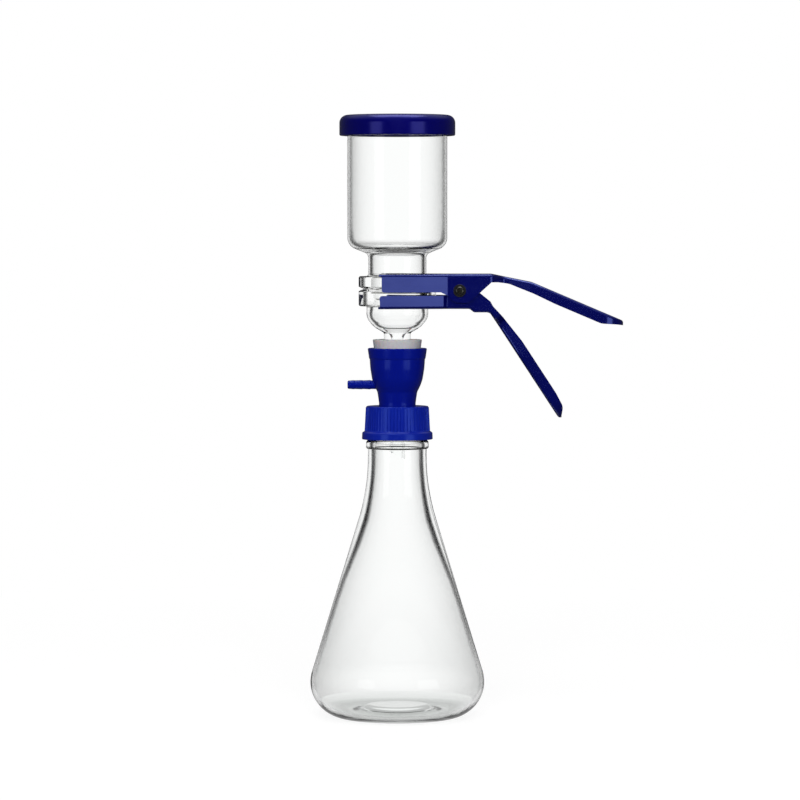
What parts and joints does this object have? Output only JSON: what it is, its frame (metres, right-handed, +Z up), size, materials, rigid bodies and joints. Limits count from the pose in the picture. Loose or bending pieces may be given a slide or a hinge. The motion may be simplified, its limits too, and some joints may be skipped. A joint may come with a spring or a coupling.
{
  "type": "vacuum filtration unit",
  "caption": "Laboratory vacuum filtration unit: lidded glass funnel clamped on a glass filter support with stopper, hose-barb vacuum adapter and screw cap, on a conical glass flask.",
  "frame": {"origin": "on the flask's axis in the plane of its foot", "axes": "+Z up along the axis of the flask and funnel, +X towards the clamp's handles, -X towards the hose barb"},
  "size_m": [0.2347, 0.1308, 0.4525],
  "materials": {
    "clear_glass": "clear, polished",
    "sintered_glass": "matt, porous",
    "filter_membrane": "matt",
    "navy_plastic": "satin",
    "blue_plastic": "satin",
    "blue_anodised": "anodised, satin",
    "stopper_silicone": "satin",
    "white_seal": "satin",
    "steel": "brushed",
    "dark_wire": "blackened",
    "black_plastic": "matt"
  },
  "bodies": {
    "flask": {"flask": "clear_glass"},
    "head": {"vacuum_adapter": "blue_plastic", "seal_ring": "white_seal", "stopper": "stopper_silicone", "support_base": "clear_glass", "frit_disc": "sintered_glass", "membrane_filter": "filter_membrane", "funnel": "clear_glass", "lid": "navy_plastic", "clamp_lower_arm": "blue_anodised", "clamp_pivot_pin": "steel", "clamp_spring": "dark_wire", "spring_bush": "black_plastic", "pivot_washer_front": "black_plastic", "pivot_washer_rear": "black_plastic"},
    "cap": {"screw_cap": "blue_plastic"},
    "upper_arm": {"clamp_upper_arm": "blue_anodised"}
  },
  "joints": [
    {"name": "head_lift", "type": "slide", "parent": "flask", "child": "head", "axis": [0, 0, 1], "range_m": [0, 0.008]},
    {"name": "cap_turn", "type": "hinge", "parent": "head", "child": "cap", "pos_m": [0, 0, 0.22], "axis": [0, 0, 1], "range_deg": [0, 720.5]},
    {"name": "clamp_pivot", "type": "hinge", "parent": "head", "child": "upper_arm", "pos_m": [0.0464, 0, 0.3213], "axis": [0, 1, 0], "range_deg": [0, 12], "stiffness_Nm_per_rad": 4, "springref_deg": -20.05, "deforming": ["clamp_spring"]}
  ],
  "couplings": [
    {"joint": "cap_turn", "follows": "head_lift", "rad_per_m": 1570.8}
  ]
}
